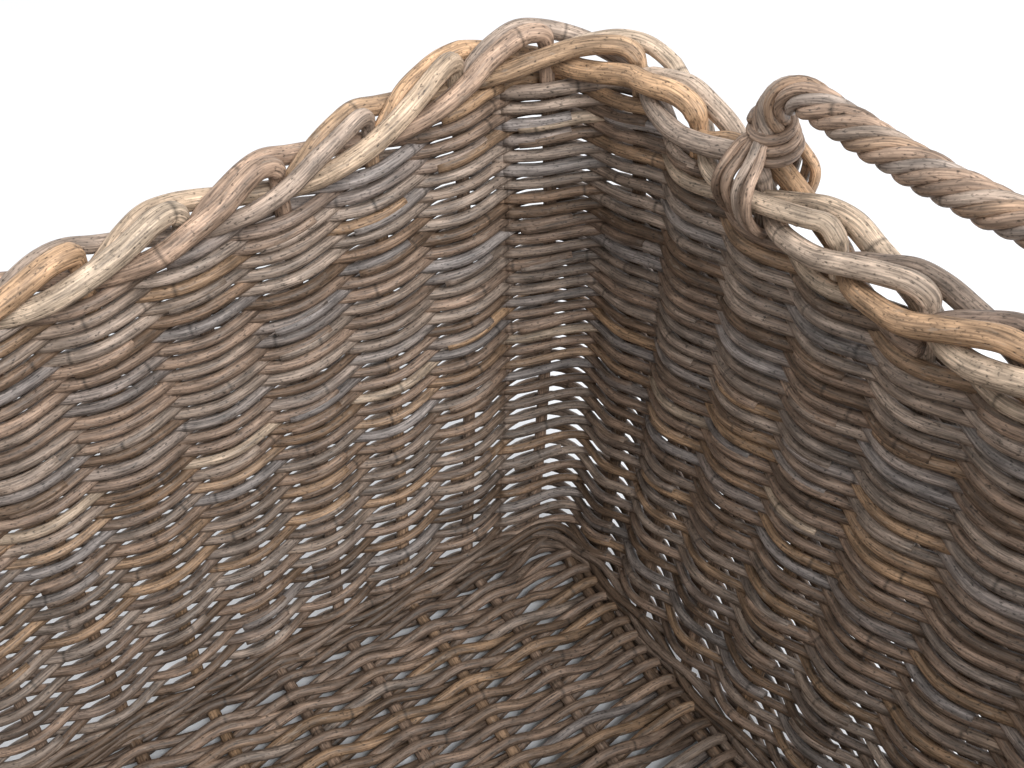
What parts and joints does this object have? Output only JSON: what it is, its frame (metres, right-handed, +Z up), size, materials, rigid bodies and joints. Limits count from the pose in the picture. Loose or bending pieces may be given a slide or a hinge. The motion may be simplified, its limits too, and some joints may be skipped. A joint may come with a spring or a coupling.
{
  "type": "log basket",
  "caption": "Deep rectangular wicker basket with rounded corners, bellied woven walls, a thick wrapped border and a twisted rope handle arched over each short end.",
  "frame": {"origin": "middle of the flat underside of the base", "axes": "+Z up, X along the long sides, Y along the short ends; a handle stands over each end of X"},
  "size_m": [0.678, 0.5228, 0.3528],
  "materials": {
    "weave": "dry peeled cane, grey-brown",
    "base": "dry cane, darker brown",
    "stakes": "dry cane, dark",
    "border": "smooth cane, pale tan and grey",
    "handles": "smooth twisted cane, tan and grey"
  },
  "bodies": {
    "root": {"cross_rod_01": "stakes", "cross_rod_02": "stakes", "cross_rod_03": "stakes", "cross_rod_04": "stakes", "cross_rod_05": "stakes", "cross_rod_06": "stakes", "cross_rod_07": "stakes", "cross_rod_08": "stakes", "cross_rod_09": "stakes", "cross_rod_10": "stakes", "cross_rod_11": "stakes", "cross_rod_12": "stakes", "left_end_stake_1": "stakes", "left_end_stake_2": "stakes", "left_end_stake_3": "stakes", "left_end_stake_4": "stakes", "left_end_stake_5": "stakes", "left_end_stake_6": "stakes", "left_end_stake_7": "stakes", "left_end_stake_8": "stakes", "left_end_stake_9": "stakes", "right_end_stake_1": "stakes", "right_end_stake_2": "stakes", "right_end_stake_3": "stakes", "right_end_stake_4": "stakes", "right_end_stake_5": "stakes", "right_end_stake_6": "stakes", "right_end_stake_7": "stakes", "right_end_stake_8": "stakes", "right_end_stake_9": "stakes", "corner_stake_front_left": "stakes", "corner_stake_front_right": "stakes", "corner_stake_back_left": "stakes", "corner_stake_back_right": "stakes", "woven_wall_front": "weave", "woven_wall_right": "weave", "woven_wall_back": "weave", "woven_wall_left": "weave", "woven_corner_front_left": "weave", "woven_corner_front_right": "weave", "woven_corner_back_left": "weave", "woven_corner_back_right": "weave", "woven_base": "base", "border_front": "border", "border_right": "border", "border_back": "border", "border_left": "border", "border_corner_front_left": "border", "border_corner_front_right": "border", "border_corner_back_left": "border", "border_corner_back_right": "border", "left_handle_core": "handles", "left_handle_rope": "handles", "left_handle_front_foot": "handles", "left_handle_back_foot": "handles", "right_handle_core": "handles", "right_handle_rope": "handles", "right_handle_front_foot": "handles", "right_handle_back_foot": "handles"}
  },
  "joints": []
}
